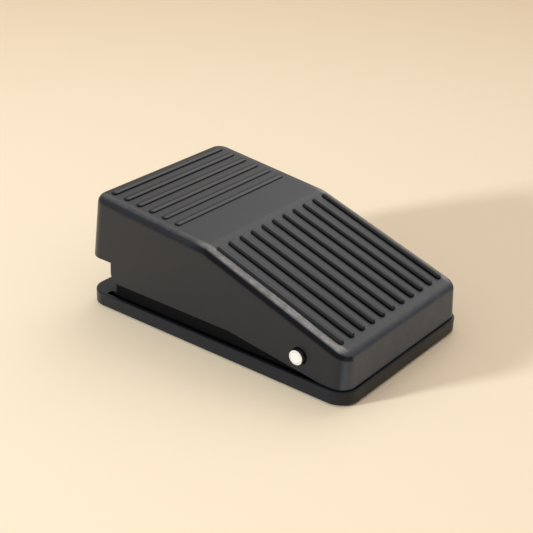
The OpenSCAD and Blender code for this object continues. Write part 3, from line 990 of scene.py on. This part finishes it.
@dataclass
class ReturnSpring:
    """The coil spring under the tread, with one closed turn at each end.

    Wire and seat, the depth of the tread's socket, are in millimetres.
    """

    wire: float = 1.4
    seat: float = 3.0
    turns: int = 8
    steps: int = 40
    sides: int = 14

    def build(self) -> None:
        """Makes the spring, which is put on no body."""
        low, high = node_box("return_spring")
        middle = (low + high) / 2
        spring = Piece("return_spring_wire")
        place = Matrix.Translation((high.x - self.wire / 2, middle.y, low.z + self.wire / 2))
        bmesh.ops.create_circle(
            spring.mesh, cap_ends=False, radius=self.wire / 2, segments=self.sides,
            matrix=place @ Matrix.Rotation(math.radians(90), 4, "X"),
        )
        loop = list(spring.mesh.edges)
        bmesh.ops.edgeloop_fill(spring.mesh, edges=loop)
        live = (high.z - low.z - 3 * self.wire) / (self.turns - 2)
        for turn in range(self.turns):
            rise = self.wire if turn in (0, self.turns - 1) else live
            loop = self._wind(spring.mesh, loop, middle, rise)
        bmesh.ops.edgeloop_fill(spring.mesh, edges=loop)
        bmesh.ops.recalc_face_normals(spring.mesh, faces=spring.mesh.faces)
        spring.put_in_order()
        thing = spring.done(None, SPRING_STEEL, "return_spring")
        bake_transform(thing)

    def _wind(
        self, mesh: bmesh.types.BMesh, loop: list[bmesh.types.BMEdge], middle: Vector, rise: float
    ) -> list[bmesh.types.BMEdge]:
        """Winds one turn of wire.

        Args:
            mesh: The spring's mesh.
            loop: The edges of the wire's open end.
            middle: A point on the spring's axis.
            rise: How far the turn climbs, in millimetres.

        Returns:
            The edges of the new open end.
        """
        made = bmesh.ops.spin(
            mesh, geom=loop, cent=(middle.x, middle.y, 0.0), axis=(0.0, 0.0, 1.0),
            dvec=(0.0, 0.0, rise / self.steps), angle=math.tau, steps=self.steps,
            use_merge=False, use_normal_flip=False, use_duplicate=False,
        )
        return [e for e in made["geom_last"] if isinstance(e, bmesh.types.BMEdge)]


@dataclass(frozen=True)
class Part:
    """A small piece whose CAD shape is kept and whose edges are softened, in millimetres."""

    node: str
    body: Body
    finish: Finish
    edge: float


@dataclass
class SnapSwitch:
    """The snap-action switch, its lever and its fixings."""

    parts: tuple[Part, ...] = (
        Part("switch_case", Body.BASE, CASE_PLASTIC, 0.12),
        Part("switch_cover", Body.BASE, COVER_PLASTIC, 0.12),
        Part("switch_plunger", Body.PLUNGER, PLUNGER_PLASTIC, 0.06),
        Part("switch_lever", Body.LEVER, LEVER_STEEL, 0.06),
        Part("snap_blade", Body.BLADE, BLADE_BRONZE, 0.04),
        Part("moving_contact", Body.BLADE, CONTACT_SILVER, 0.05),
        Part("common_terminal", Body.BASE, TERMINAL_BRASS, 0.06),
        Part("normally_open_terminal", Body.BASE, TERMINAL_BRASS, 0.06),
        Part("normally_closed_terminal", Body.BASE, TERMINAL_BRASS, 0.06),
        Part("normally_open_contact", Body.BASE, CONTACT_SILVER, 0.05),
        Part("normally_closed_contact", Body.BASE, CONTACT_SILVER, 0.05),
        Part("switch_screws", Body.BASE, FASTENER_STEEL, 0.08),
        Part("switch_nuts", Body.BASE, FASTENER_STEEL, 0.08),
    )

    def build(self) -> None:
        """Makes each part."""
        for part in self.parts:
            piece = Piece.from_node(part.node, part.node + "_part")
            piece.round_edges(part.edge, 2)
            piece.done(part.body, part.finish, part.node)


# ------------------------------------------------------------------ studio


@dataclass(frozen=True)
class Lamp:
    """A soft square lamp that polished surfaces don't mirror. Lengths are in metres."""

    name: str
    azimuth: float
    elevation: float
    distance: float
    size: float
    power: float
    colour: Colour


@dataclass
class Studio:
    """Floor, lamp, world and camera.

    Azimuths and elevations are in degrees, azimuth 0 being in front, towards -Y.
    """

    floor_half: float = 3.0
    # Floor colour near and far, and where it changes: painted light falloff
    floor_near: Colour = (0.93, 0.79, 0.6)
    floor_far: Colour = (0.68, 0.47, 0.29)
    painted_falloff_span: Span = (60.0, 900.0)
    dome: Colour = (1.0, 0.92, 0.85)
    dome_low: float = 0.18
    dome_high: float = 0.66
    dome_rise: Span = (0.05, 0.55)
    pane: Colour = (1.0, 1.0, 1.0)
    pane_place: Span = (99.0, 43.0)
    pane_spread: Span = (0.84, 0.985)
    pane_light: float = 1.5
    key: Lamp = Lamp("key", -119.0, 15.0, 1.6, 0.2, 31.0, (0.88, 0.97, 1.0))
    camera_place: Span = (-52.83, 26.62)
    camera_roll: float = 1.74
    camera_distance: float = 0.391
    camera_lens: float = 81.7
    camera_aim: tuple[float, float, float] = (-2.01, 1.52, 17.7)

    def build(self) -> None:
        """Makes the whole studio."""
        self._floor()
        self._world()
        self._lamp(self.key)
        self._camera()
        bpy.context.scene.view_settings.view_transform = "Standard"

    @staticmethod
    def _direction(azimuth: float, elevation: float) -> Vector:
        """Direction from the object to a place round it.

        Args:
            azimuth: Angle round the object, in degrees.
            elevation: Angle above the horizon, in degrees.

        Returns:
            A unit vector.
        """
        a, e = math.radians(azimuth), math.radians(elevation)
        return Vector((math.sin(a) * math.cos(e), -math.cos(a) * math.cos(e), math.sin(e)))

    @staticmethod
    def _placed(name: str, data: bpy.types.ID) -> bpy.types.Object:
        """Links a new object to the scene.

        Args:
            name: Its name.
            data: Its mesh, light or camera.

        Returns:
            The object.
        """
        made = bpy.data.objects.new(name, data)
        bpy.context.scene.collection.objects.link(made)
        return made

    def _floor(self) -> None:
        """Lays a pale floor whose colour grows darker and more orange away from the object, as
        painted light falloff.
        """
        made = bmesh.new()
        bmesh.ops.create_grid(made, x_segments=1, y_segments=1, size=self.floor_half)
        data = bpy.data.meshes.new("floor")
        made.to_mesh(data)
        made.free()
        floor = self._placed("floor", data)
        graph = Graph(bpy.data.materials.new("floor_paper"))
        away = (graph.axis(0) * graph.axis(0) + graph.axis(1) * graph.axis(1)) ** 0.5
        colour = graph.mix(away.step(*self.painted_falloff_span), self.floor_near, self.floor_far)
        data.materials.append(
            graph.finish(Base_Color=colour, Roughness=0.9, Specular_IOR_Level=0.1)
        )

    def _world(self) -> None:
        """Lights the scene from a soft dome, dim at the horizon, with one bright pane."""
        world = bpy.data.worlds.new("soft_room")
        bpy.context.scene.world = world
        graph = Graph(world)
        towards = graph.node("ShaderNodeTexCoord", output="Generated")
        up = graph.node("ShaderNodeSeparateXYZ", None, {"Vector": towards}, output=2)
        facing = graph.along(towards, self._direction(*self.pane_place))
        pane = facing.step(*self.pane_spread)
        dome = up.step(*self.dome_rise) * (self.dome_high - self.dome_low) + self.dome_low
        inputs = {
            "Color": graph.mix(pane, self.dome, self.pane),
            "Strength": dome + pane * self.pane_light,
        }
        graph.close(graph.node("ShaderNodeBackground", None, inputs))

    def _lamp(self, lamp: Lamp) -> None:
        """Hangs a lamp, turned to the object.

        Args:
            lamp: The lamp.
        """
        light = bpy.data.lights.new(lamp.name, "AREA")
        light.shape = "SQUARE"
        light.size = lamp.size
        light.energy = lamp.power
        light.color = lamp.colour
        made = self._placed(lamp.name, light)
        made.visible_glossy = False
        towards = self._direction(lamp.azimuth, lamp.elevation)
        made.location = towards * lamp.distance
        made.rotation_mode = "QUATERNION"
        made.rotation_quaternion = towards.to_track_quat("Z", "Y")

    def _camera(self) -> None:
        """Sets the camera."""
        camera = bpy.data.cameras.new("camera")
        camera.lens = self.camera_lens
        camera.sensor_width = 36.0
        camera.clip_start = 0.01
        made = self._placed("camera", camera)
        back = self._direction(*self.camera_place)
        roll = Matrix.Rotation(math.radians(self.camera_roll), 3, "Z").to_quaternion()
        made.rotation_mode = "QUATERNION"
        made.rotation_quaternion = back.to_track_quat("Z", "Y") @ roll
        made.location = Vector(self.camera_aim) * MM + back * self.camera_distance
        bpy.context.scene.camera = made


def clear_scene() -> None:
    """Removes what a new file starts with."""
    for thing in list(bpy.data.objects):
        bpy.data.objects.remove(thing)


def main() -> None:
    """Builds the foot switch and its studio."""
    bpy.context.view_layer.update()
    for assembly in (Base(), Treadle(), HingePin(), ReturnSpring(), SnapSwitch(), Studio()):
        assembly.build()
        LOG.info("%s done", type(assembly).__name__)


if __name__ == "__main__":
    logging.basicConfig(level=logging.INFO, format="%(name)s: %(message)s")
    clear_scene()
    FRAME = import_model()
    main()
